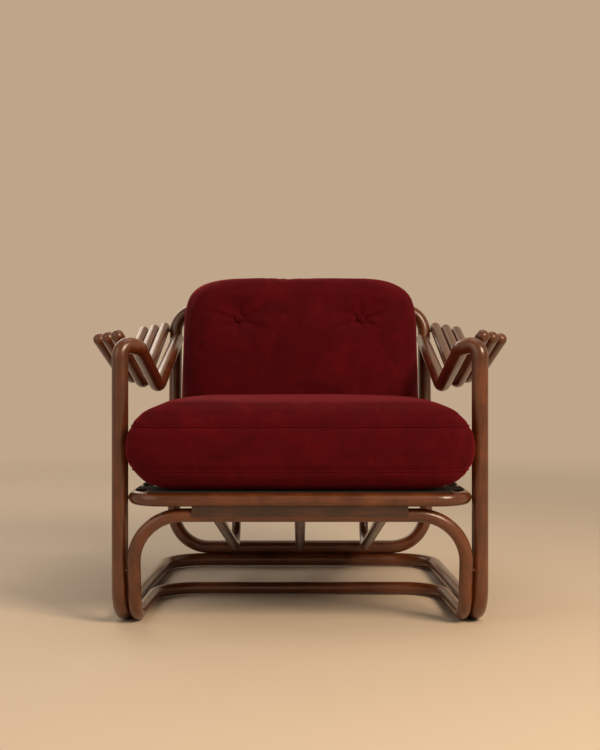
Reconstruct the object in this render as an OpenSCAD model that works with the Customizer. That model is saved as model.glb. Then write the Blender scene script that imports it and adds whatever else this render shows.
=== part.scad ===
// Low lounge armchair: a frame of bent, dark stained poles with loose velvet cushions.
// Millimetres. +X is the sitter's left, -Y the front, +Z up. The origin is on the floor,
// under the centre of the whole chair. Pieces are written for one side and mirrored.

/* [Poles] */
// Diameter of the main poles: posts, outer floor loop and back frame
pole_d = 33; // [30:0.5:36]
// Diameter of the poles of the front arch and the seat ring
loop_d = 27; // [24:0.5:30]
// Diameter of the arm ribs
rib_d = 28; // [25:0.5:30]
// Diameter of the slats under the seat and up the back
slat_d = 23; // [18:0.5:25]
// Clearance left between poles that lie side by side
lie_gap = 0.3; // [0.1:0.1:1]

/* [Frame] */
// Half distance between the two front posts, on their centre lines
post_x = 360; // [340:1:390]
// How far each floor runner has drawn in when it reaches the rear corner
runner_draw = 20; // [5:1:30]
// Distance from the front posts back to the rear floor bar
rear_run = 736; // [700:1:780]
// Distance from the front posts back to the middle floor bar
mid_run = 334; // [280:1:380]
// Bend radius at the foot of the posts
foot_r = 60; // [50:1:75]
// Bend radius of the rear floor corners
rear_corner_r = 100; // [80:1:120]
// Bend radius of the middle floor corners
mid_corner_r = 92; // [75:1:105]
// Height of the poles' underside over the floor, taken up by the glides
frame_lift = 2; // [1:0.5:4]

/* [Arch and seat ring] */
// Height of the arch's top bar centre line
arch_z = 224; // [210:1:232]
// How far the arch leans forward at its top
arch_lean = 36; // [15:1:45]
// Bend radius of the arch's upper corners
arch_r = 98; // [80:1:110]
// Height of the seat ring's centre line
ring_z = 256; // [250:1:275]
// How far the ring's front rail stands in front of the posts
ring_front = 52; // [46:1:70]
// Bend radius of the ring's front corners
ring_front_r = 60; // [45:1:80]
// Bend radius of the ring's rear corners
ring_rear_r = 90; // [60:1:110]
// Half length of the packing strip between ring and arch
strip_half = 212; // [150:1:215]
// Width of the packing strip, front to back
strip_w = 18; // [14:1:22]

/* [Back frame] */
// Half width of the back frame, on its centre line
back_x = 330; // [326:1:336]
// Height of the back frame's top rail centre line
back_z = 674; // [670:1:690]
// How far the back frame leans back over its height
back_lean = 66; // [40:1:90]
// Bend radius of the back frame's lower corners
back_low_r = 92; // [75:1:110]
// Bend radius of the back frame's upper corners
back_top_r = 60; // [50:1:62]
// Side distance from the centre slat to the outer slats
slat_x = 165; // [140:1:190]
// Bend radius at the heel of the slats
slat_r = 70; // [50:1:90]

/* [Arms] */
// Height of the corner over the post, where the arm folds over
arm_corner_z = 564; // [550:1:580]
// How far the fold of the arm lies inside the post
arm_fold_in = 32; // [28:1:36]
// Bend radius of the fold
arm_fold_r = 23; // [20:1:25]
// Height of the corner at the bottom of the arm's dip
arm_dip_z = 474; // [465:1:485]
// Side place of the arm's dip
arm_dip_x = 322; // [316:1:330]
// Distance from the posts back to the dip
arm_dip_run = 320; // [300:1:340]
// Bend radius of the dip
arm_dip_r = 150; // [110:1:180]
// Height at which the arm meets the back frame
arm_end_z = 596; // [585:1:600]
// Side place at which the arm meets the back frame
arm_end_x = 326; // [322:1:330]

/* [Ribs] */
// Side place of the first rib's tip
tip_x = 382; // [378:1:388]
// Side step from one tip to the next
tip_step = 37; // [34:1:42]
// Distance from the posts back to the first tip
tip_run = 112; // [100:1:130]
// Distance back from one tip to the next
tip_run_step = 108; // [90:1:120]
// Height of the tips' centres
tip_z = 581; // [570:1:590]
// Side place of the first rib's dip
dip_x = 361; // [358:1:368]
// Side step from one dip to the next
dip_step = 31; // [30:1:36]
// Distance from the posts back to the first rib's dip
dip_run = 356; // [340:1:380]
// Distance back from one dip to the next
dip_run_step = 62; // [50:1:75]
// Height of the corner in the first rib's dip
dip_z = 480; // [474:1:490]
// Rise from one dip to the next
dip_rise = 9; // [5:1:14]
// Bend radius of the ribs' dips
rib_dip_r = 80; // [60:1:90]
// Height of the ribs' upper ends
rib_end_z = 626; // [616:1:630]
// How much lower each rib's upper end lies than the one inside it
rib_end_drop = 5; // [2:1:6]

/* [Cushions] */
// Clearance between the seat cushion and each front post
seat_gap = 3.5; // [2:0.5:12]
// Extra half width of the seat cushion in front of the posts
seat_ear = 18; // [4:1:20]
// How far the seat cushion stands in front of the posts
seat_front = 92; // [80:1:100]
// Distance from the posts back to the seat cushion's rear edge
seat_rear = 546; // [500:1:552]
// Height of the seat cushion's waist over its underside
seat_waist = 86; // [75:1:100]
// Height of the seat cushion's crown over its waist
seat_crown = 96; // [80:1:110]
// Clearance between the back cushion and each arm's rear end
back_gap = 2.5; // [1.5:0.5:12]
// How much each side of the back cushion draws in at the top
back_taper = 6; // [2:1:20]
// Height of the back cushion's top
back_top = 752; // [735:1:765]
// Front to back swell of the back cushion before its middle plane
back_swell = 120; // [90:1:122]
// Swell of the back cushion behind its middle plane
back_rear_swell = 62; // [50:1:70]
// Thickness of the velvet covers
cover_t = 2.5; // [1.5:0.5:4]
// Radius of the covered buttons
button_r = 11; // [8:1:14]
// Side place of the buttons
button_x = 152; // [120:1:180]
// Height of the buttons
button_z = 640; // [600:1:670]
// Depth of the dimple round each button
button_dimple = 20; // [10:1:26]

/* [Webbing and fasteners] */
// Number of webbing straps across the seat ring
strap_count = 6; // [4:1:8]
// Width of a webbing strap
strap_w = 60; // [50:1:70]
// Thickness of a webbing strap
strap_t = 2; // [1.5:0.5:3]
// Gap between the front strap, which lies on the front rail, and the next one
strap_gap = 8; // [4:1:12]
// Diameter of the hidden hardwood pins
pin_d = 7; // [6:0.5:8]
// Radius of a floor glide
glide_r = 9; // [8:0.5:12]
// Height of a floor glide
glide_h = 6; // [5:0.5:8]

/* [Hidden] */
$fn = 64;
// Leaning under which a direction counts as upright
hair = 1e-6;
// Hairline score round a pole where a bend starts or ends
seam = 0.03;
// Share of a pole's diameter that its unbroken heart takes at a score
heart_share = 0.6;
wood = "#5a3019";
wood_dark = "#43220f";
velvet = "#6d0a18";

// Front to back places: the chair's depth is centred on the origin
front_reach = seat_front;
rear_reach = rear_run + back_lean + pole_d / 2;
post_y = (front_reach - rear_reach) / 2;
rear_y = post_y + rear_run;
mid_y = post_y + mid_run;

// Heights of poles that lie on the floor or on each other
pole_z = frame_lift + pole_d / 2;
loop_z = frame_lift + loop_d / 2;
low_bar_z = pole_z + pole_d;
back_angle = atan2(back_lean, back_z - low_bar_z);

// Side places of poles that lie beside each other
beside = (pole_d + loop_d) / 2 + lie_gap;
loop_x = post_x - beside;
slope = runner_draw / rear_run;
function runner_x(run) = post_x - slope * run;
rear_x = runner_x(rear_run);
mid_x = loop_x - slope * mid_run;

// The seat ring and the packing strip under it
ring_front_y = post_y - ring_front;
slat_off = (pole_d + slat_d) / 2 + lie_gap;
function back_y(z) = rear_y + (z - low_bar_z) * tan(back_angle);
function slat_y(z) = back_y(z) - slat_off / cos(back_angle);
ring_rear_y = slat_y(ring_z) - ((slat_d + loop_d) / 2 + lie_gap) / cos(back_angle);
arch_y = post_y - arch_lean;

// The seat cushion lies between the posts, the back cushion between the arms
seat_half = post_x - pole_d / 2 - seat_gap;
back_half = arm_end_x - pole_d / 2 - back_gap;
deck_z = ring_z + loop_d / 2 + strap_t;
seat_z = deck_z + lie_gap + seat_waist;
back_low = deck_z + lie_gap;
back_mid_z = (back_low + back_top) / 2;
function back_pad_y(z) = slat_y(z) - slat_d / 2 / cos(back_angle) - lie_gap - back_rear_swell;

// The arm pole's corners, from the floor's rear corner to the back frame
arm_end_y = back_y(arm_end_z);
rib_end_y = back_y(rib_end_z) + rib_d / 4;
rib_end_x = back_x + (pole_d + rib_d) / 2 + lie_gap;
rib_touch = rib_d + lie_gap;

// Places of the glides along the floor runners
glide_runs = [foot_r + glide_r, (rear_run + foot_r) / 2, rear_run - rear_corner_r];

// Vectors
function unit(v) = v / norm(v);
function turn(a, b, c) = acos(unit(b - a) * unit(c - b));
function reach(a, b, c, r) = r * tan(turn(a, b, c) / 2);
function flat_x(v) = abs(v.z) > 1 - hair;

// Turns children so that X, Y and Z lie along the three unit vectors
module orient(x, y, z) {
    level = flat_x(x);
    roll = level ? atan2(-z.y, y.y) : atan2(y.z, z.z);
    yaw = level ? 0 : atan2(x.y, x.x);
    rotate([roll, asin(-max(-1, min(1, x.z))), yaw]) children();
}

// Straight round bar between two points
module bar(a, b, d) {
    v = b - a;
    translate(a) rotate([0, acos(v.z / norm(v)), atan2(v.y, v.x)]) cylinder(d = d, h = norm(v));
}

// Which way the path turns at corner i, square to the direction it comes in
function heading(p, i) = unit(p[i + 1] - p[i]);
function side_of(p, i) = let (u = heading(p, i - 1), w = heading(p, i)) unit(w - (w * u) * u);
function angle_at(p, i) = turn(p[i - 1], p[i], p[i + 1]);
function cut_at(p, radii, i) = i == 0 || i == len(p) - 1 ? 0
    : reach(p[i - 1], p[i], p[i + 1], radii[i - 1]);

// Twist from the plane of the bend at corner i to the plane of the next one
function twist(p, i) = let (
    u = heading(p, i - 1),
    s = side_of(p, i),
    level = cos(angle_at(p, i)) * s - sin(angle_at(p, i)) * u,
    next = side_of(p, i + 1)
) atan2(next * cross(u, s), next * level);

// Quarter ring of a bend that starts along +Z and turns towards +X
module turned(r, angle, d) {
    translate([r, 0, 0]) rotate([90, 0, 180])
        rotate_extrude(angle = angle) translate([r, 0]) circle(d = d);
}

// Half ball that closes a pole's end, below its own plane
module half_ball(d) {
    rotate_extrude() intersection() {
        circle(d = d);
        translate([0, -d]) square(d);
    }
}

// The rest of a bent pole from straight i on, drawn from where that straight starts
module chain(p, radii, d, i, round_end) {
    run = norm(p[i + 1] - p[i]) - cut_at(p, radii, i) - cut_at(p, radii, i + 1);
    from = i == 0 ? 0 : seam;
    to = i < len(p) - 2 ? run - seam : run;
    translate([0, 0, from]) cylinder(d = d, h = to - from);
    translate([0, 0, run]) {
        if (i < len(p) - 2) {
            r = radii[i];
            a = angle_at(p, i + 1);
            sphere(d = d * heart_share);
            turned(r, a, d);
            translate([r, 0, 0]) rotate([0, a, 0]) translate([-r, 0, 0]) {
                sphere(d = d * heart_share);
                rotate([0, 0, i < len(p) - 3 ? twist(p, i + 1) : 0])
                    chain(p, radii, d, i + 1, round_end);
            }
        } else if (round_end) {
            mirror([0, 0, 1]) half_ball(d);
        }
    }
}

// Bent pole along the points, with one bend radius for each inner corner
module pole(p, radii, d, round_start = false, round_end = false) {
    z = heading(p, 0);
    x = side_of(p, 1);
    translate(p[0]) orient(x, cross(z, x), z) {
        if (round_start) half_ball(d);
        chain(p, radii, d, 0, round_end);
    }
}

// Closed bent pole, flat and square to the axes: half width, near and far places, radii
module hoop(half, near, far, near_r, far_r, d) {
    bar([-half, near + near_r, 0], [-half, far - far_r, 0], d);
    bar([half, near + near_r, 0], [half, far - far_r, 0], d);
    bar([-half + near_r, near, 0], [half - near_r, near, 0], d);
    bar([-half + far_r, far, 0], [half - far_r, far, 0], d);
    for (q = [0, 1]) {
        translate([half - near_r, near + near_r, 0]) mirror([q, 0, 0])
            translate([q * 2 * (half - near_r), 0, 0]) rotate([0, 0, -90])
            rotate_extrude(angle = 90) translate([near_r, 0]) circle(d = d);
        translate([half - far_r, far - far_r, 0]) mirror([q, 0, 0])
            translate([q * 2 * (half - far_r), 0, 0])
            rotate_extrude(angle = 90) translate([far_r, 0]) circle(d = d);
    }
}

// Side pole: rear corner, floor runner, post and arm in one bent length
bar_end_x = rear_x - rear_corner_r - pole_d;
side_points = [
    [bar_end_x, rear_y, pole_z],
    [rear_x, rear_y, pole_z],
    [post_x, post_y, pole_z],
    [post_x, post_y, arm_corner_z],
    [post_x - arm_fold_in, post_y + arm_fold_in, arm_corner_z - arm_fold_in / 4],
    [arm_dip_x, post_y + arm_dip_run, arm_dip_z],
    [arm_end_x, arm_end_y, arm_end_z]
];
side_radii = [rear_corner_r, foot_r, arm_fold_r, arm_fold_r, arm_dip_r];

module side_pole() {
    color(wood) difference() {
        pole(side_points, side_radii, pole_d);
        back_side_bar();
        side_pin_holes();
    }
}
module side_pole_right() { side_pole(); }
module side_pole_left() { mirror([1, 0, 0]) side_pole(); }

module rear_floor_bar() {
    color(wood) difference() {
        bar([-bar_end_x, rear_y, pole_z], [bar_end_x, rear_y, pole_z], pole_d);
        back_pin_set();
    }
}

// Front arch with its floor runners and the rear corners of its floor loop
arch_end_x = mid_x - mid_corner_r - loop_d;
arch_points = [
    [arch_end_x, mid_y, loop_z],
    [mid_x, mid_y, loop_z],
    [loop_x, post_y, loop_z],
    [loop_x, arch_y, arch_z],
    [-loop_x, arch_y, arch_z],
    [-loop_x, post_y, loop_z],
    [-mid_x, mid_y, loop_z],
    [-arch_end_x, mid_y, loop_z]
];
arch_radii = [mid_corner_r, foot_r, arch_r, arch_r, foot_r, mid_corner_r];

module arch_loop() { pole(arch_points, arch_radii, loop_d); }
module front_arch() {
    color(wood) difference() {
        arch_loop();
        both() arch_pin();
    }
}
module mid_floor_bar() {
    color(wood) bar([-arch_end_x, mid_y, loop_z], [arch_end_x, mid_y, loop_z], loop_d);
}

// Seat ring, level, held between the posts
module seat_loop() {
    translate([0, 0, ring_z])
        hoop(loop_x, ring_front_y, ring_rear_y, ring_front_r, ring_rear_r, loop_d);
}
module seat_ring() {
    color(wood) difference() {
        seat_loop();
        both() ring_pin();
    }
}

// Packing strip between the ring's front rail and the arch's top bar
module packing_strip() {
    strip_y = (arch_y + ring_front_y) / 2;
    color(wood_dark) difference() {
        translate([-strip_half, strip_y - strip_w / 2, arch_z])
            cube([2 * strip_half, strip_w, ring_z - arch_z]);
        bar([-loop_x, arch_y, arch_z], [loop_x, arch_y, arch_z], loop_d);
        bar([-loop_x, ring_front_y, ring_z], [loop_x, ring_front_y, ring_z], loop_d);
    }
}

// Back frame: one closed loop that stands on the rear floor bar and leans back
module back_loop() {
    translate([0, rear_y, low_bar_z]) rotate([90 - back_angle, 0, 0])
        hoop(back_x, 0, norm([back_lean, back_z - low_bar_z]), back_low_r, back_top_r, pole_d);
}
module back_side_bar() {
    bar([back_x, rear_y, low_bar_z], [back_x, back_y(back_z), back_z], pole_d);
}
module back_frame() {
    color(wood) difference() {
        back_loop();
        back_pin_set();
        both() rib_pin();
    }
}

// Slats: from the arch's top bar back and down to the low bar, then up the back
slat_top = back_z + slat_d / 2;
slat_heel = low_bar_z;
module slat(x) {
    points = [
        [x, arch_y, arch_z],
        [x, slat_y(slat_heel), slat_heel],
        [x, slat_y(slat_top), slat_top]
    ];
    color(wood_dark) difference() {
        pole(points, [slat_r], slat_d, round_end = true);
        bar(arch_points[3], arch_points[4], loop_d);
    }
}
module slat_left() { slat(-slat_x); }
module slat_centre() { slat(0); }
module slat_right() { slat(slat_x); }

// Ribs: a round tip outside the arm, a dip, then a rise beside the rib inside it
function rib_end(k) = rib_end_x + k * rib_touch;
function rib_points(k) = [
    [tip_x + k * tip_step, post_y + tip_run + k * tip_run_step, tip_z],
    [dip_x + k * dip_step, post_y + dip_run + k * dip_run_step, dip_z + k * dip_rise],
    [rib_end(k), rib_end_y, rib_end_z - k * rib_end_drop]
];

module rib(k) {
    points = rib_points(k);
    color(wood) difference() {
        pole(points, [rib_dip_r], rib_d, true, true);
        rib_pin();
    }
}
module rib_right_1() { rib(0); }
module rib_right_2() { rib(1); }
module rib_right_3() { rib(2); }
module rib_left_1() { mirror([1, 0, 0]) rib(0); }
module rib_left_2() { mirror([1, 0, 0]) rib(1); }
module rib_left_3() { mirror([1, 0, 0]) rib(2); }

// Hidden pins, each in holes of its own diameter
module both() {
    children();
    mirror([1, 0, 0]) children();
}
rib_pin_z = rib_end_z - rib_end_drop - pin_d / 2;
rib_pin_y = back_y(rib_pin_z);
module rib_pin() {
    bar([back_x, rib_pin_y, rib_pin_z], [rib_end(2) + rib_d / 4, rib_pin_y, rib_pin_z], pin_d);
}
module ring_pin() {
    bar([post_x + pole_d / 4, post_y, ring_z], [loop_x - loop_d / 4, post_y, ring_z], pin_d);
}
arch_pin_z = low_bar_z + foot_r;
module arch_pin() {
    arch_pin_y = post_y - arch_lean * (arch_pin_z - loop_z) / (arch_z - loop_z) / 2;
    bar([post_x + pole_d / 4, arch_pin_y, arch_pin_z],
        [loop_x - loop_d / 4, arch_pin_y, arch_pin_z], pin_d);
}
module back_pin(x) {
    bar([x, rear_y, pole_z - pole_d / 4], [x, rear_y, low_bar_z + pole_d / 4], pin_d);
}
module back_pin_set() {
    for (x = [-slat_x, 0, slat_x]) back_pin(x);
}
module side_pin_holes() {
    ring_pin();
    arch_pin();
}
module rib_pins() { color(wood_dark) both() rib_pin(); }
module ring_pins() { color(wood_dark) both() ring_pin(); }
module arch_pins() { color(wood_dark) both() arch_pin(); }
module back_pins() { color(wood_dark) back_pin_set(); }

// Floor glides under the outer runners, hollowed to the pole they sit under
module floor_glides() {
    color("#1b1512") both() difference() {
        for (run = glide_runs)
            translate([runner_x(run), post_y + run, 0]) cylinder(r = glide_r, h = glide_h);
        bar(side_points[1], side_points[2], pole_d);
    }
}

// Webbing straps across the ring, lying on its side rails
strap_span = ring_rear_y - ring_front_y - 2 * ring_front_r;
module seat_webbing() {
    pitch = (strap_span - strap_w) / (strap_count - 1);
    first = ring_front_y + ring_front_r;
    front_half = loop_x - ring_front_r / 2;
    color("#2a2320") {
        for (i = [0 : strap_count - 1])
            translate([-loop_x, first + i * pitch, ring_z + loop_d / 2])
                cube([2 * loop_x, strap_w, strap_t]);
        translate([-front_half, ring_front_y, ring_z + loop_d / 2])
            cube([2 * front_half, ring_front_r - strap_gap, strap_t]);
    }
}

// Cushion forms: rings of points between an outline and its middle, on two crowned faces
ring_shares = [0.34, 0.62, 0.82, 0.92, 0.97, 0.993];
spokes = 40;
function corner(a, power) = sign(a) * pow(abs(a), 2 / power);
function dome(share, edge, crown) = sqrt(1 - pow(share, edge)) * (1 - crown * share * share);
function smooth(t) = let (s = max(0, min(1, t))) s * s * (3 - 2 * s);

// Triangles for rows of equal length that close at a point at each end
function pad_faces(rows, n) = concat(
    [for (j = [0 : n - 1]) [0, 1 + (j + 1) % n, 1 + j]],
    [for (i = [0 : rows - 2], j = [0 : n - 1]) [1 + i * n + j, 1 + i * n + (j + 1) % n,
        1 + (i + 1) * n + j]],
    [for (i = [0 : rows - 2], j = [0 : n - 1]) [1 + i * n + (j + 1) % n,
        1 + (i + 1) * n + (j + 1) % n, 1 + (i + 1) * n + j]],
    [for (j = [0 : n - 1]) [1 + rows * n, 1 + (rows - 1) * n + j, 1 + (rows - 1) * n + (j + 1) % n]]
);
pad_rows = 2 * len(ring_shares) + 1;
function row_share(i) = i < len(ring_shares) ? ring_shares[i]
    : i == len(ring_shares) ? 1 : ring_shares[pad_rows - 1 - i];
function row_sign(i) = i < len(ring_shares) ? 1 : i == len(ring_shares) ? 0 : -1;

// Seat cushion: outline in plan, with ears in front of the posts
seat_half_l = (seat_rear + seat_front) / 2;
seat_mid_y = post_y + seat_rear - seat_half_l;
seat_power = 10;
seat_edge = 14;
seat_crown_share = 0.09;
seat_base_share = 0.02;
function seat_wide(y, t) = seat_half - t + seat_ear * smooth((post_y - pole_d / 2 - y) / pole_d * 2);
function seat_point(i, j, t) = let (
    a = 360 * j / spokes,
    s = row_share(i),
    y = seat_mid_y + s * (seat_half_l - t) * corner(sin(a), seat_power),
    x = s * seat_wide(y, t) * corner(cos(a), seat_power),
    up = row_sign(i) > 0 ? seat_crown - t : seat_waist - t,
    fall = row_sign(i) > 0 ? seat_crown_share : seat_base_share
) [x, y, seat_z + row_sign(i) * up * dome(s, seat_edge, fall)];
function seat_points(t) = concat(
    [[0, seat_mid_y, seat_z + seat_crown - t]],
    [for (i = [0 : pad_rows - 1], j = [0 : spokes - 1]) seat_point(i, j, t)],
    [[0, seat_mid_y, seat_z - seat_waist + t]]
);
module seat_form(t) { polyhedron(seat_points(t), pad_faces(pad_rows, spokes)); }
module seat_cover() {
    color(velvet) difference() {
        seat_form(0);
        seat_form(cover_t);
    }
}
module seat_core() { color("#d8cfb8") seat_form(cover_t + lie_gap); }

// Back cushion: outline across the chair and up the back frame, with two sewn tufts
back_half_h = (back_top - back_low) / 2;
back_power = 6.5;
back_edge = 13;
back_crown_share = 0.12;
tuft_reach = 46;
// How far each button sits proud of the dimple's curve, clear of the cover's flat faces
button_gap = 5.7;
function tuft(x, z) = button_dimple * exp(-pow(norm([abs(x) - button_x, z - button_z]) / tuft_reach, 2));
function back_point(i, j, t) = let (
    a = 360 * j / spokes,
    s = row_share(i),
    z = back_mid_z + s * (back_half_h - t) * corner(sin(a), back_power),
    taper = back_taper * smooth((z - back_mid_z) / back_half_h),
    x = s * (back_half - taper - t) * corner(cos(a), back_power),
    out = row_sign(i) > 0 ? back_swell - t : back_rear_swell - t,
    dent = row_sign(i) > 0 ? tuft(x, z) : 0
) [x, back_pad_y(z) - row_sign(i) * out * dome(s, back_edge, back_crown_share) + dent, z];
function back_points_of(t) = concat(
    [[0, back_pad_y(back_mid_z) - back_swell + t, back_mid_z]],
    [for (i = [0 : pad_rows - 1], j = [0 : spokes - 1]) back_point(i, j, t)],
    [[0, back_pad_y(back_mid_z) + back_rear_swell - t, back_mid_z]]
);
module back_form(t) { polyhedron(back_points_of(t), pad_faces(pad_rows, spokes)); }
module back_cover() {
    color(velvet) difference() {
        back_form(0);
        back_form(cover_t);
    }
}
module back_core() { color("#d8cfb8") back_form(cover_t + lie_gap); }

// Covered buttons, sunk in the tufts
button_side_share = button_x / (back_half - back_taper * smooth((button_z - back_mid_z) / back_half_h));
button_up_share = (button_z - back_mid_z) / back_half_h;
button_share = pow(pow(button_side_share, back_power) + pow(button_up_share, back_power), 1 / back_power);
button_face = back_swell * dome(button_share, back_edge, back_crown_share) - button_dimple;
button_y = back_pad_y(button_z) - button_face - button_r - button_gap;
module back_buttons() {
    color(velvet) both() translate([button_x, button_y, button_z]) sphere(r = button_r);
}

side_pole_left();
side_pole_right();
rear_floor_bar();
front_arch();
mid_floor_bar();
seat_ring();
packing_strip();
back_frame();
slat_left();
slat_centre();
slat_right();
rib_left_1();
rib_left_2();
rib_left_3();
rib_right_1();
rib_right_2();
rib_right_3();
rib_pins();
ring_pins();
arch_pins();
back_pins();
floor_glides();
seat_webbing();
seat_cover();
seat_core();
back_cover();
back_core();
back_buttons();
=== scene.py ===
import math

import bpy
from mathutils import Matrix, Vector, noise


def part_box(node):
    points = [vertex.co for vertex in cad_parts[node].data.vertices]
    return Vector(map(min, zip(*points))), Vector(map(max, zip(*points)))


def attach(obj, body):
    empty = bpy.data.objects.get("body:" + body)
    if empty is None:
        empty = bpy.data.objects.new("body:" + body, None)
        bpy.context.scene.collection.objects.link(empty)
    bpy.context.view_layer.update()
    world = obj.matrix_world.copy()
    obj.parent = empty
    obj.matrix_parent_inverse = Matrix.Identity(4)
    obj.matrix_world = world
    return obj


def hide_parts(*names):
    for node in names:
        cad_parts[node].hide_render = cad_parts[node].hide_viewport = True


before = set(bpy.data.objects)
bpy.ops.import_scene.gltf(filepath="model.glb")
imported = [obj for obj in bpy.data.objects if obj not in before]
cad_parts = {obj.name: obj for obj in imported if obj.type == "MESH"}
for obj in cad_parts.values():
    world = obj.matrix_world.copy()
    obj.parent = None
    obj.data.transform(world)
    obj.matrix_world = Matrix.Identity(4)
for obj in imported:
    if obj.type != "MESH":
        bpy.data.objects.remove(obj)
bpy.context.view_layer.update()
mm = 0.001  # lengths are in metres
quarterTurn = math.radians(90)
print("frame loaded")


def linear(hexText):
    # sRGB hex to the linear colour a shader wants
    values = [int(hexText[i : i + 2], 16) / 255 for i in (1, 3, 5)]
    return tuple(v / 12.92 if v < 0.04045 else ((v + 0.055) / 1.055) ** 2.4 for v in values) + (1,)


def addNode(tree, kind, values=None, links=None, **settings):
    node = tree.nodes.new(kind)
    for name, value in settings.items():
        setattr(node, name, value)
    for name, value in (values or {}).items():
        node.inputs[name].default_value = value
    for name, socket in (links or {}).items():
        tree.links.new(socket, node.inputs[name])
    return node


def newMaterial(name, values):
    material = bpy.data.materials.new(name)
    material.use_nodes = True
    shader = material.node_tree.nodes["Principled BSDF"]
    for socket, value in values.items():
        shader.inputs[socket].default_value = value
    return material, material.node_tree, shader


def colourRamp(tree, factor, stops):
    ramp = addNode(tree, "ShaderNodeValToRGB", links={"Fac": factor})
    elements = ramp.color_ramp.elements
    for i, (place, hexText) in enumerate(stops):
        element = elements[i] if i < 2 else elements.new(place)
        element.position = place
        element.color = linear(hexText)
    return ramp.outputs["Color"]


def mapRange(tree, value, fromMin, fromMax, toMin=0.0, toMax=1.0):
    node = addNode(
        tree,
        "ShaderNodeMapRange",
        {"From Min": fromMin, "From Max": fromMax, "To Min": toMin, "To Max": toMax},
        {"Value": value},
        interpolation_type="SMOOTHSTEP",
    )
    return node.outputs["Result"]


def mixFloat(tree, factor, a, b):
    links = {0: factor, 2: a, 3: b}
    return addNode(tree, "ShaderNodeMix", links=links, data_type="FLOAT").outputs[0]


def addUp(tree, parts):
    # The sum of some sockets, each times its share
    total = None
    for socket, share in parts:
        node = addNode(
            tree, "ShaderNodeMath", {1: share, 2: 0.0}, {0: socket}, operation="MULTIPLY_ADD"
        )
        if total:
            tree.links.new(total, node.inputs[2])
        total = node.outputs[0]
    return total


# Steam-bent beech, stained walnut and rubbed with satin lacquer: warm brown, fine pores along the
# pole, and a clean soft highlight down its length
poleWood = {
    "stops": [(0.28, "#2c1305"), (0.5, "#56290d"), (0.66, "#743c15"), (0.82, "#905422")],
    "grainWidth": 1.1 * mm,  # real pores are 0.1 mm wide, drawn coarser so they show
    "grainLength": 26,  # a streak's length over its width
    "grainShare": 0.45,  # how much the streaks, patches and marks each count in the colour
    "cloudSize": 75 * mm,  # patches where the stain took deeper
    "cloudShare": 0.4,
    "cloudRange": (0.3, 0.7),
    "ringPitch": 210 * mm,  # faint dark growth marks along the pole
    "ringShare": 0.2,
    "lacquer": (0.28, 0.42),  # roughness: the lacquer is rubbed thinner in places
    "poreDepth": 0.12 * mm,
    "blend": 25 * mm,  # length over which the grain turns at a bend
}


def stainedWood(name, riseFrom, riseTo, crossWithin, darker=0.0):
    # The grain runs front to back, upright between two heights, and sideways near the middle
    material, tree, shader = newMaterial(
        name, {"IOR": 1.5, "Coat Weight": 0.5, "Coat Roughness": 0.16, "Coat IOR": 1.5}
    )
    place = addNode(tree, "ShaderNodeTexCoord").outputs["Object"]
    split = addNode(tree, "ShaderNodeSeparateXYZ", links={"Vector": place})
    grains = []
    for along in range(3):
        scale = [1 / poleWood["grainLength"] if axis == along else 1 for axis in range(3)]
        laid = addNode(tree, "ShaderNodeMapping", {"Scale": scale}, {"Vector": place})
        pores = addNode(
            tree,
            "ShaderNodeTexNoise",
            # one unit of noise holds a light and a dark streak
            {"Scale": 0.5 / poleWood["grainWidth"], "Detail": 3, "Roughness": 0.6},
            {"Vector": laid.outputs["Vector"]},
        )
        grains.append(pores.outputs["Fac"])
    sideways = addNode(
        tree, "ShaderNodeMath", links={0: split.outputs["X"]}, operation="ABSOLUTE"
    ).outputs[0]
    blend = poleWood["blend"]
    rising = mapRange(tree, split.outputs["Z"], riseFrom - blend, riseFrom + blend)
    falling = mapRange(tree, split.outputs["Z"], riseTo - blend, riseTo + blend, 1.0, 0.0)
    upright = addNode(
        tree, "ShaderNodeMath", links={0: rising, 1: falling}, operation="MULTIPLY"
    ).outputs[0]
    crossing = mapRange(tree, sideways, crossWithin - blend, crossWithin + blend, 1.0, 0.0)
    grain = mixFloat(tree, upright, grains[1], grains[2])
    grain = mixFloat(tree, crossing, grain, grains[0])
    cloud = addNode(
        tree,
        "ShaderNodeTexNoise",
        {"Scale": 1 / poleWood["cloudSize"], "Detail": 3, "Roughness": 0.55, "Distortion": 0.4},
        {"Vector": place},
    ).outputs["Fac"]
    marks = addNode(
        tree,
        "ShaderNodeTexNoise",
        {"Scale": 1 / poleWood["ringPitch"], "Detail": 1, "Distortion": 1.2},
        {"Vector": place},
    ).outputs["Fac"]
    shares = [poleWood[key] for key in ("grainShare", "cloudShare", "ringShare")]
    tone = addUp(tree, zip((grain, cloud, marks), shares))
    tone = addNode(tree, "ShaderNodeMath", {1: darker}, {0: tone}, operation="SUBTRACT").outputs[0]
    tree.links.new(colourRamp(tree, tone, poleWood["stops"]), shader.inputs["Base Color"])
    rubbed = mapRange(tree, cloud, *poleWood["cloudRange"], *poleWood["lacquer"])
    tree.links.new(rubbed, shader.inputs["Roughness"])
    bump = addNode(
        tree,
        "ShaderNodeBump",
        {"Strength": 0.35, "Distance": poleWood["poreDepth"]},
        {"Height": grain},
    )
    tree.links.new(bump.outputs["Normal"], shader.inputs["Normal"])
    return material


# Cotton velvet: a short dense pile that glows where it is seen edge on and shows brushed patches
pile = {
    "stops": [(0.3, "#430109"), (0.5, "#50030c"), (0.72, "#610711")],
    "sheen": "#e8404f",
    "brushSize": 85 * mm,
    "brushShare": 0.7,  # how much the patches and the tufts each count in the colour
    "tuftSize": 0.9 * mm,  # real tufts are 0.3 mm, drawn coarser so they show
    "tuftShare": 0.3,
    "tuftDepth": 0.35 * mm,
}


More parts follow.
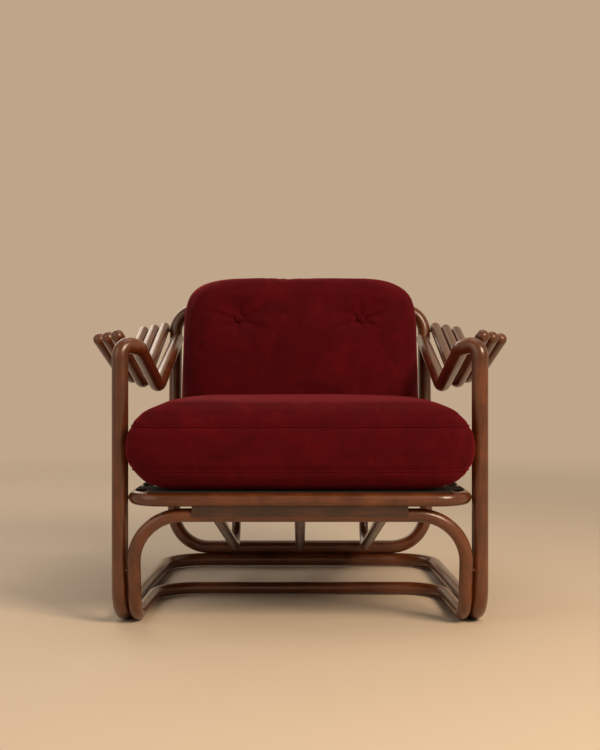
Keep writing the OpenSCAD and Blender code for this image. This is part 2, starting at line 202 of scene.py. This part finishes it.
def cottonVelvet(name):
    material, tree, shader = newMaterial(
        name,
        {
            "Roughness": 0.92,
            "IOR": 1.4,
            "Specular IOR Level": 0.18,
            "Sheen Weight": 0.4,
            "Sheen Roughness": 0.38,
            "Sheen Tint": linear(pile["sheen"]),
        },
    )
    place = addNode(tree, "ShaderNodeTexCoord").outputs["Object"]
    brushed = addNode(
        tree,
        "ShaderNodeTexNoise",
        {"Scale": 1 / pile["brushSize"], "Detail": 4, "Roughness": 0.62, "Distortion": 1.4},
        {"Vector": place},
    ).outputs["Fac"]
    tufts = addNode(
        tree,
        "ShaderNodeTexNoise",
        {"Scale": 1 / pile["tuftSize"], "Detail": 2, "Roughness": 0.7},
        {"Vector": place},
    ).outputs["Fac"]
    tone = addUp(tree, [(brushed, pile["brushShare"]), (tufts, pile["tuftShare"])])
    tree.links.new(colourRamp(tree, tone, pile["stops"]), shader.inputs["Base Color"])
    bump = addNode(
        tree,
        "ShaderNodeBump",
        {"Strength": 0.5, "Distance": pile["tuftDepth"]},
        {"Height": tufts},
    )
    tree.links.new(bump.outputs["Normal"], shader.inputs["Normal"])
    return material


# Woven elastic webbing: flat ribs across the strap, dull and nearly black
strap = {
    "stops": [(0.1, "#14100d"), (0.9, "#3c332c")],
    "warp": 3.2 * mm,
    "weft": 2.1 * mm,
    "depth": 0.4 * mm,
}
bandPitch = 0.314  # metres between the bands of a wave texture at scale 1


def wovenWebbing(name):
    material, tree, shader = newMaterial(name, {"Roughness": 0.86, "IOR": 1.45})
    place = addNode(tree, "ShaderNodeTexCoord").outputs["Object"]
    waves = []
    for direction, pitch in (("X", strap["weft"]), ("Y", strap["warp"])):
        wave = addNode(
            tree,
            "ShaderNodeTexWave",
            {"Scale": bandPitch / pitch, "Distortion": 0.3},
            {"Vector": place},
            bands_direction=direction,
        )
        waves.append(wave.outputs["Fac"])
    weave = addNode(
        tree, "ShaderNodeMath", links={0: waves[0], 1: waves[1]}, operation="MULTIPLY"
    ).outputs[0]
    tree.links.new(colourRamp(tree, weave, strap["stops"]), shader.inputs["Base Color"])
    bump = addNode(
        tree, "ShaderNodeBump", {"Strength": 0.8, "Distance": strap["depth"]}, {"Height": weave}
    )
    tree.links.new(bump.outputs["Normal"], shader.inputs["Normal"])
    return material


# Injection moulded polypropylene glides: matt, with a fine spark-eroded grain
glide = {"colour": "#1d1714", "gritSize": 0.5 * mm, "gritDepth": 0.05 * mm}


def mouldedPlastic(name):
    material, tree, shader = newMaterial(
        name, {"Base Color": linear(glide["colour"]), "Roughness": 0.55, "IOR": 1.49}
    )
    place = addNode(tree, "ShaderNodeTexCoord").outputs["Object"]
    grit = addNode(tree, "ShaderNodeTexNoise", {"Scale": 1 / glide["gritSize"]}, {"Vector": place})
    bump = addNode(
        tree,
        "ShaderNodeBump",
        {"Strength": 0.3, "Distance": glide["gritDepth"]},
        {"Height": grit.outputs["Fac"]},
    )
    tree.links.new(bump.outputs["Normal"], shader.inputs["Normal"])
    return material


def dress(material, *names):
    # A CAD node keeps its mesh and takes the material on its own slots
    for name in names:
        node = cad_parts[name]
        if not node.material_slots:
            node.data.materials.append(material)
        for slot in node.material_slots:
            slot.material = material


# Each pole's grain: "rise" holds the heights between which it stands upright, and "cross" how
# near the middle it runs sideways
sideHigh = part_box("side_pole_right")[1]
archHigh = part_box("front_arch")[1]
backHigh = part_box("back_frame")[1]
footRise = 70 * mm  # above the foot bends
beyond = 2.0  # metres, past the chair to the side and over it
level = (beyond, beyond)  # the pole stands upright nowhere
everywhere = beyond
nowhere = -1.0
poles = [
    {
        "wood": "stainedSidePole",
        "nodes": ["side_pole_left", "side_pole_right"],
        "rise": (footRise, sideHigh.z - 60 * mm),
        "cross": sideHigh.x - 150 * mm,
    },
    {
        "wood": "stainedArch",
        "nodes": ["front_arch"],
        "rise": (footRise, archHigh.z - 60 * mm),
        "cross": archHigh.x - 110 * mm,
    },
    {
        "wood": "stainedRing",
        "nodes": ["seat_ring"],
        "rise": level,
        "cross": archHigh.x - 70 * mm,
    },
    {
        "wood": "stainedBackFrame",
        "nodes": ["back_frame"],
        "rise": (0.0, beyond),
        "cross": backHigh.x - 80 * mm,
    },
    {
        "wood": "stainedSlat",
        "nodes": ["slat_left", "slat_centre", "slat_right"],
        "rise": (footRise * 2, beyond),
        "cross": nowhere,
        "darker": 0.05,
    },
    {
        "wood": "stainedRib",
        "nodes": [f"rib_{side}_{k}" for side in ("left", "right") for k in (1, 2, 3)],
        "rise": level,
        "cross": nowhere,
    },
    {
        "wood": "stainedFloorBar",
        "nodes": ["rear_floor_bar", "mid_floor_bar"],
        "rise": level,
        "cross": everywhere,
    },
    {
        "wood": "stainedPin",
        "nodes": ["rib_pins", "ring_pins", "arch_pins", "back_pins"],
        "rise": level,
        "cross": everywhere,
        "darker": 0.1,
    },
    {
        "wood": "stainedStripPaintedShade",
        "nodes": ["packing_strip"],
        "rise": level,
        "cross": everywhere,
        # the strip is stained like the other poles; its extra darkness is painted shade, for the
        # shadow it lies in between the seat ring and the front arch
        "darker": 0.22,
    },
]
velvetCloth = cottonVelvet("cottonVelvet")
for pole in poles:
    wood = stainedWood(pole["wood"], *pole["rise"], pole["cross"], pole.get("darker", 0.0))
    dress(wood, *pole["nodes"])
dress(wovenWebbing("wovenWebbing"), "seat_webbing")
dress(mouldedPlastic("mouldedPlastic"), "floor_glides")
print("frame dressed")


def selectOnly(piece):
    bpy.ops.object.select_all(action="DESELECT")
    piece.select_set(True)
    bpy.context.view_layer.objects.active = piece


def smoothStep(value, low, high):
    t = max(0.0, min(1.0, (value - low) / (high - low)))
    return t * t * (3 - 2 * t)


# How both cushions are made: the cover's cloth, and the piping that welts it
cover = {
    "weldWithin": 0.01 * mm,
    "frames": 20,
    "quality": 6,
    "tension": 12,
    "compression": 8,
    "bending": 0.6,
    "weltStep": 1.5 * mm,  # shortest stretch of a welt's line
    "weltRoundness": 3,
}


def paddedCopy(node, name, voxel):
    # The CAD core is the filling, a little smaller than its cover, so the cloth swells from it
    piece = bpy.data.objects.new(name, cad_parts[node].data.copy())
    bpy.context.scene.collection.objects.link(piece)
    selectOnly(piece)
    bpy.ops.object.mode_set(mode="EDIT")
    bpy.ops.mesh.select_all(action="SELECT")
    bpy.ops.mesh.remove_doubles(threshold=cover["weldWithin"])
    bpy.ops.mesh.normals_make_consistent(inside=False)
    bpy.ops.object.mode_set(mode="OBJECT")
    bpy.ops.object.modifier_add(type="REMESH")
    remesh = piece.modifiers[-1]
    remesh.mode = "VOXEL"
    remesh.voxel_size = voxel
    bpy.ops.object.modifier_apply(modifier=remesh.name)
    return piece


def swell(piece, pressure, capOf, pinned=None):
    # Cloth under pressure, no gravity, with each point's movement capped
    mesh = piece.data
    start = [v.co.copy() for v in mesh.vertices]
    normals = [v.normal.copy() for v in mesh.vertices]
    group = piece.vertex_groups.new(name="sewn")
    held = [v.index for v in mesh.vertices if pinned and pinned(v.co)]
    group.add(held, 1.0, "REPLACE")
    moved = start
    selectOnly(piece)
    bpy.ops.object.modifier_add(type="CLOTH")
    cloth = piece.modifiers[-1]
    cloth.settings.quality = cover["quality"]
    cloth.settings.use_pressure = True
    cloth.settings.uniform_pressure_force = pressure
    cloth.settings.tension_stiffness = cover["tension"]
    cloth.settings.compression_stiffness = cover["compression"]
    cloth.settings.bending_stiffness = cover["bending"]
    cloth.settings.effector_weights.gravity = 0
    cloth.settings.vertex_group_mass = "sewn"
    cloth.point_cache.frame_start = 1
    cloth.point_cache.frame_end = cover["frames"]
    for step in range(1, cover["frames"] + 1):
        bpy.context.scene.frame_set(step)
    graph = bpy.context.evaluated_depsgraph_get()
    moved = [v.co.copy() for v in piece.evaluated_get(graph).data.vertices]
    piece.modifiers.remove(cloth)
    bpy.context.scene.frame_set(1)
    unmoved = 1e-9  # keeps a point that stayed in place from a division by zero
    for v, before, after, normal in zip(mesh.vertices, start, moved, normals):
        shift = after - before
        v.co = before + shift * min(1.0, capOf(normal) / max(shift.length, unmoved))
    piece.vertex_groups.clear()
    selectOnly(piece)
    bpy.ops.object.modifier_add(type="SUBSURF")
    finer = piece.modifiers[-1]
    finer.levels = 1
    finer.render_levels = 1
    bpy.ops.object.modifier_apply(modifier=finer.name)
    bpy.ops.object.shade_smooth()


def workSurface(piece, depthOf):
    # Moves each point along its normal by a depth worked out from its place
    mesh = piece.data
    normals = [v.normal.copy() for v in mesh.vertices]
    for v, normal in zip(mesh.vertices, normals):
        v.co = v.co - normal * depthOf(v.co, normal)


def welt(piece, name, height, diameter, sunk):
    # Covered piping along the line where a level plane cuts the cushion
    line = bpy.data.objects.new(name, piece.data.copy())
    bpy.context.scene.collection.objects.link(line)
    selectOnly(line)
    bpy.ops.object.mode_set(mode="EDIT")
    bpy.ops.mesh.select_all(action="SELECT")
    bpy.ops.mesh.bisect(
        plane_co=(0, 0, height), plane_no=(0, 0, 1), clear_inner=True, clear_outer=True
    )
    bpy.ops.mesh.select_all(action="SELECT")
    bpy.ops.mesh.remove_doubles(threshold=cover["weltStep"])
    bpy.ops.object.mode_set(mode="OBJECT")
    middle = sum((v.co for v in line.data.vertices), Vector()) / len(line.data.vertices)
    for v in line.data.vertices:
        inward = (middle - v.co).normalized()
        v.co = v.co + inward * sunk
    bpy.ops.object.convert(target="CURVE")
    line = bpy.context.view_layer.objects.active
    line.data.bevel_depth = diameter / 2
    line.data.bevel_resolution = cover["weltRoundness"]
    bpy.ops.object.convert(target="MESH")
    line = bpy.context.view_layer.objects.active
    bpy.ops.object.shade_smooth()
    line.data.materials.clear()
    line.data.materials.append(velvetCloth)
    return line


# Seat cushion: a boxed pad with a welt at the top and bottom of its border. A slope is how far
# a face's normal points one way, from where a change starts to where it is complete
seat = {
    "voxel": 8 * mm,
    "pressure": 4.0,
    "capFree": 6 * mm,  # top, front and underside, which then lies flat on the webbing
    "capNear": 2.4 * mm,  # sides and back, beside posts and back cushion
    "levelSlope": (0.2, 0.8),
    "frontSlope": (0.5, 0.9),
    "borderSlope": (0.8, 0.97),
    "seamTop": 400 * mm,
    "seamBottom": 314 * mm,
    "seamWidth": 7 * mm,
    "seamDepth": 3.0 * mm,
    "puckerPitch": 34 * mm,
    "puckerDepth": 0.3 * mm,
    "puckerSpread": 3,  # in seam widths
    "waveSize": 120 * mm,
    "waveDepth": 1.6 * mm,
    "welt": 4.5 * mm,
    "weltSunk": 0.1,  # share of the welt's diameter
}
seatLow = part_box("seat_cover")[0]
seatPad = paddedCopy("seat_core", "seatCushion", seat["voxel"])


def seatCap(normal):
    flat = smoothStep(abs(normal.z), *seat["levelSlope"])
    free = max(flat, smoothStep(-normal.y, *seat["frontSlope"]))
    return seat["capNear"] + free * (seat["capFree"] - seat["capNear"])


swell(seatPad, seat["pressure"], seatCap)


def seatDepth(place, normal):
    border = 1 - smoothStep(abs(normal.z), *seat["borderSlope"])
    along = place.x if abs(normal.y) > abs(normal.x) else place.y
    pucker = seat["puckerDepth"] * math.sin(math.tau * along / seat["puckerPitch"])
    depth = seat["waveDepth"] * noise.noise(place / seat["waveSize"])
    for height in (seat["seamTop"], seat["seamBottom"]):
        away = (place.z - height) / seat["seamWidth"]
        depth += border * seat["seamDepth"] * math.exp(-away * away)
        depth += border * pucker * math.exp(-away * away / seat["puckerSpread"] ** 2)
    return depth


workSurface(seatPad, seatDepth)
for v in seatPad.data.vertices:
    v.co.z = max(v.co.z, seatLow.z)
seatPad.data.materials.clear()
seatPad.data.materials.append(velvetCloth)
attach(seatPad, "seat_cushion")
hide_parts("seat_cover", "seat_core")
for name, height in (("seatWeltTop", seat["seamTop"]), ("seatWeltBottom", seat["seamBottom"])):
    piping = welt(seatPad, name, height, seat["welt"], seat["welt"] * seat["weltSunk"])
    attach(piping, "seat_cushion")
print("seat cushion made")

# Back cushion: knife-edged, with two tufts sewn through to buttons and creases round each
back = {
    "voxel": 7 * mm,
    "pressure": 4.0,
    "capFree": 5 * mm,  # front and top
    "capNear": 2.2 * mm,  # sides, underside and rear, beside arms, seat cushion and slats
    "frontSlope": (0.1, 0.7),
    "topSlope": (0.4, 0.9),
    "creaseSlope": (0.2, 0.6),
    "tuftRadius": 10 * mm,
    "tuftFace": 90 * mm,  # only points farther than this from the cushion's rear are sewn
    "creaseDepth": 6.5 * mm,
    "creaseWidth": 7 * mm,
    # each crease's direction in degrees and its length in millimetres
    "creases": [(-160, 90), (-80, 45), (-28, 70), (14, 120), (92, 70), (150, 50)],
    "creaseTurn": 1.2,  # radians to either side within which a crease is felt
    "creaseStart": 0.6,  # share of its width at the button
    "creaseFull": 0.15,  # share of its length at full depth
    "waveSize": 110 * mm,
    "waveDepth": 1.8 * mm,
    "waveShift": Vector((3, 0, 0)),  # gives it other waves than the seat cushion's
}
buttonLow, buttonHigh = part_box("back_buttons")
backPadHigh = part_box("back_cover")[1]
buttonRadius = (buttonHigh.z - buttonLow.z) / 2
buttons = [
    Vector((side * (buttonHigh.x - buttonRadius), 0, buttonLow.z + buttonRadius))
    for side in (-1, 1)
]
backPad = paddedCopy("back_core", "backCushion", back["voxel"])


def fromButton(place):
    # The step from the nearer button across the front face, mirrored to one side
    side, nearer = (-1, buttons[0]) if place.x < 0 else (1, buttons[1])
    return side * (place.x - nearer.x), place.z - nearer.z


def sewn(place):
    away = math.hypot(*fromButton(place))
    return away < back["tuftRadius"] and place.y < backPadHigh.y - back["tuftFace"]


def backCap(normal):
    front = smoothStep(-normal.y, *back["frontSlope"])
    free = max(front, smoothStep(normal.z, *back["topSlope"]))
    return back["capNear"] + free * (back["capFree"] - back["capNear"])


swell(backPad, back["pressure"], backCap, sewn)


def backDepth(place, normal):
    depth = back["waveDepth"] * noise.noise(place / back["waveSize"] + back["waveShift"])
    stepX, stepZ = fromButton(place)
    away = math.hypot(stepX, stepZ)
    angle = math.degrees(math.atan2(stepZ, stepX))
    facing = smoothStep(-normal.y, *back["creaseSlope"])
    deepest = 0
    for crease, length in back["creases"]:
        turn = math.radians((angle - crease + 180) % 360 - 180)
        if abs(turn) < back["creaseTurn"]:
            reach = length * mm
            width = back["creaseWidth"] * (back["creaseStart"] + away / reach)
            across = away * math.sin(turn) / width
            fade = 1 - smoothStep(away, back["creaseFull"] * reach, reach)
            deepest = max(deepest, fade * math.exp(-across * across))
    return depth + facing * back["creaseDepth"] * deepest


workSurface(backPad, backDepth)
backPad.data.materials.clear()
backPad.data.materials.append(velvetCloth)
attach(backPad, "frame")
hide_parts("back_cover", "back_core")
print("back cushion made")

# Buttons: velvet stretched over a shallow metal dome, pulled down into the tuft by its thread
button = {"thickness": 0.5, "sunk": 0.5 * mm, "rings": 14, "segments": 28}


def seatedAt(place):
    # The point of the cushion's front face behind a button, found with a ray from the front
    backwards = Vector((0, 1, 0))
    found, point = backPad.ray_cast(place - backwards, backwards)[:2]
    return point if found else place


bpy.ops.object.select_all(action="DESELECT")
domes = []
for middle in buttons:
    touch = seatedAt(Vector((middle.x, buttonLow.y, middle.z)))
    bpy.ops.mesh.primitive_uv_sphere_add(
        segments=button["segments"],
        ring_count=button["rings"],
        radius=buttonRadius,
        location=(touch.x, touch.y - buttonRadius * button["thickness"] + button["sunk"], touch.z),
        rotation=(quarterTurn, 0, 0),
        scale=(1, 1, button["thickness"]),
    )
    domes.append(bpy.context.view_layer.objects.active)
for dome in domes:
    dome.select_set(True)
bpy.ops.object.join()
coveredButtons = bpy.context.view_layer.objects.active
coveredButtons.name = "coveredButtons"
bpy.ops.object.transform_apply(location=True, rotation=True, scale=True)
bpy.ops.object.shade_smooth()
coveredButtons.data.materials.append(velvetCloth)
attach(coveredButtons, "frame")
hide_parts("back_buttons")
print("buttons made")

# Stage: a pale painted floor that fades into the room around it, and the room's even light
studio = {
    "floor": "#e6d6c0",
    "room": "#bfa68a",
    "radius": 9.0,
    "sides": 96,
    "fadeFrom": 1.0,
    "fadeTo": 5.0,
    "light": "#f2e6d8",
    "lightStrength": 0.27,
}


def paintedFloor():
    material, tree, shader = newMaterial(
        "paintedFloor", {"Base Color": linear(studio["floor"]), "Roughness": 0.8}
    )
    place = addNode(tree, "ShaderNodeTexCoord").outputs["Object"]
    distance = addNode(
        tree, "ShaderNodeVectorMath", links={0: place}, operation="LENGTH"
    ).outputs["Value"]
    fade = mapRange(tree, distance, studio["fadeFrom"], studio["fadeTo"])
    clear = addNode(tree, "ShaderNodeBsdfTransparent")
    mixed = addNode(
        tree,
        "ShaderNodeMixShader",
        links={0: fade, 1: shader.outputs["BSDF"], 2: clear.outputs["BSDF"]},
    )
    tree.links.new(mixed.outputs["Shader"], tree.nodes["Material Output"].inputs["Surface"])
    bpy.ops.object.select_all(action="DESELECT")
    bpy.ops.mesh.primitive_circle_add(
        vertices=studio["sides"], radius=studio["radius"], fill_type="NGON"
    )
    floor = bpy.context.view_layer.objects.active
    floor.name = "studioFloor"
    floor.data.materials.append(material)
    return floor


paintedFloor()

# Soft studio light: a warm key from the front right, and a fill, a back and a top lamp
lamps = [
    {"name": "keyLamp", "place": (1.9, -2.4, 2.3), "size": 1.3, "power": 92, "tint": "#ffe2c0"},
    {"name": "fillLamp", "place": (-2.4, -2.0, 1.8), "size": 2.2, "power": 14, "tint": "#fff0e0"},
    {"name": "backLamp", "place": (-1.6, 2.8, 2.4), "size": 2.0, "power": 22, "tint": "#fff0e0"},
    {"name": "topLamp", "place": (0.3, 0.2, 3.4), "size": 2.0, "power": 12, "tint": "#fff0e0"},
]
aim = Vector((0, 0, 0.38))  # about the chair's middle
for lamp in lamps:
    light = bpy.data.lights.new(lamp["name"], "AREA")
    light.energy = lamp["power"]
    light.size = lamp["size"]
    light.color = linear(lamp["tint"])[:3]
    holder = bpy.data.objects.new(lamp["name"], light)
    holder.location = lamp["place"]
    holder.rotation_euler = (aim - Vector(lamp["place"])).to_track_quat("-Z", "Y").to_euler()
    bpy.context.scene.collection.objects.link(holder)

# The room lights the chair evenly, and shows its own colour to the camera and in reflections
room = bpy.data.worlds.new("studioRoom")
room.use_nodes = True
tree = room.node_tree
glow = tree.nodes["Background"]
glow.inputs["Color"].default_value = linear(studio["light"])
glow.inputs["Strength"].default_value = studio["lightStrength"]
wall = addNode(tree, "ShaderNodeBackground", {"Color": linear(studio["room"]), "Strength": 1.0})
path = addNode(tree, "ShaderNodeLightPath").outputs
seen = path["Is Camera Ray"]
for other in ("Is Glossy Ray", "Is Transmission Ray"):
    seen = addNode(
        tree, "ShaderNodeMath", links={0: seen, 1: path[other]}, operation="MAXIMUM"
    ).outputs[0]
shown = addNode(
    tree,
    "ShaderNodeMixShader",
    links={0: seen, 1: glow.outputs["Background"], 2: wall.outputs["Background"]},
)
tree.links.new(shown.outputs["Shader"], tree.nodes["World Output"].inputs["Surface"])
bpy.context.scene.world = room

# Camera: level, half a metre above the floor and 2.4 m before the front posts
view = {"place": (0, -2.763, 0.5), "lens": 57.6, "sensor": 36}
camera = bpy.data.cameras.new("studioCamera")
camera.lens = view["lens"]
camera.sensor_width = view["sensor"]
cameraHolder = bpy.data.objects.new("studioCamera", camera)
cameraHolder.location = view["place"]
cameraHolder.rotation_euler = (quarterTurn, 0, 0)
bpy.context.scene.collection.objects.link(cameraHolder)
bpy.context.scene.camera = cameraHolder
bpy.context.scene.view_settings.view_transform = "Standard"
print("stage, light and camera set")

bpy.context.view_layer.update()
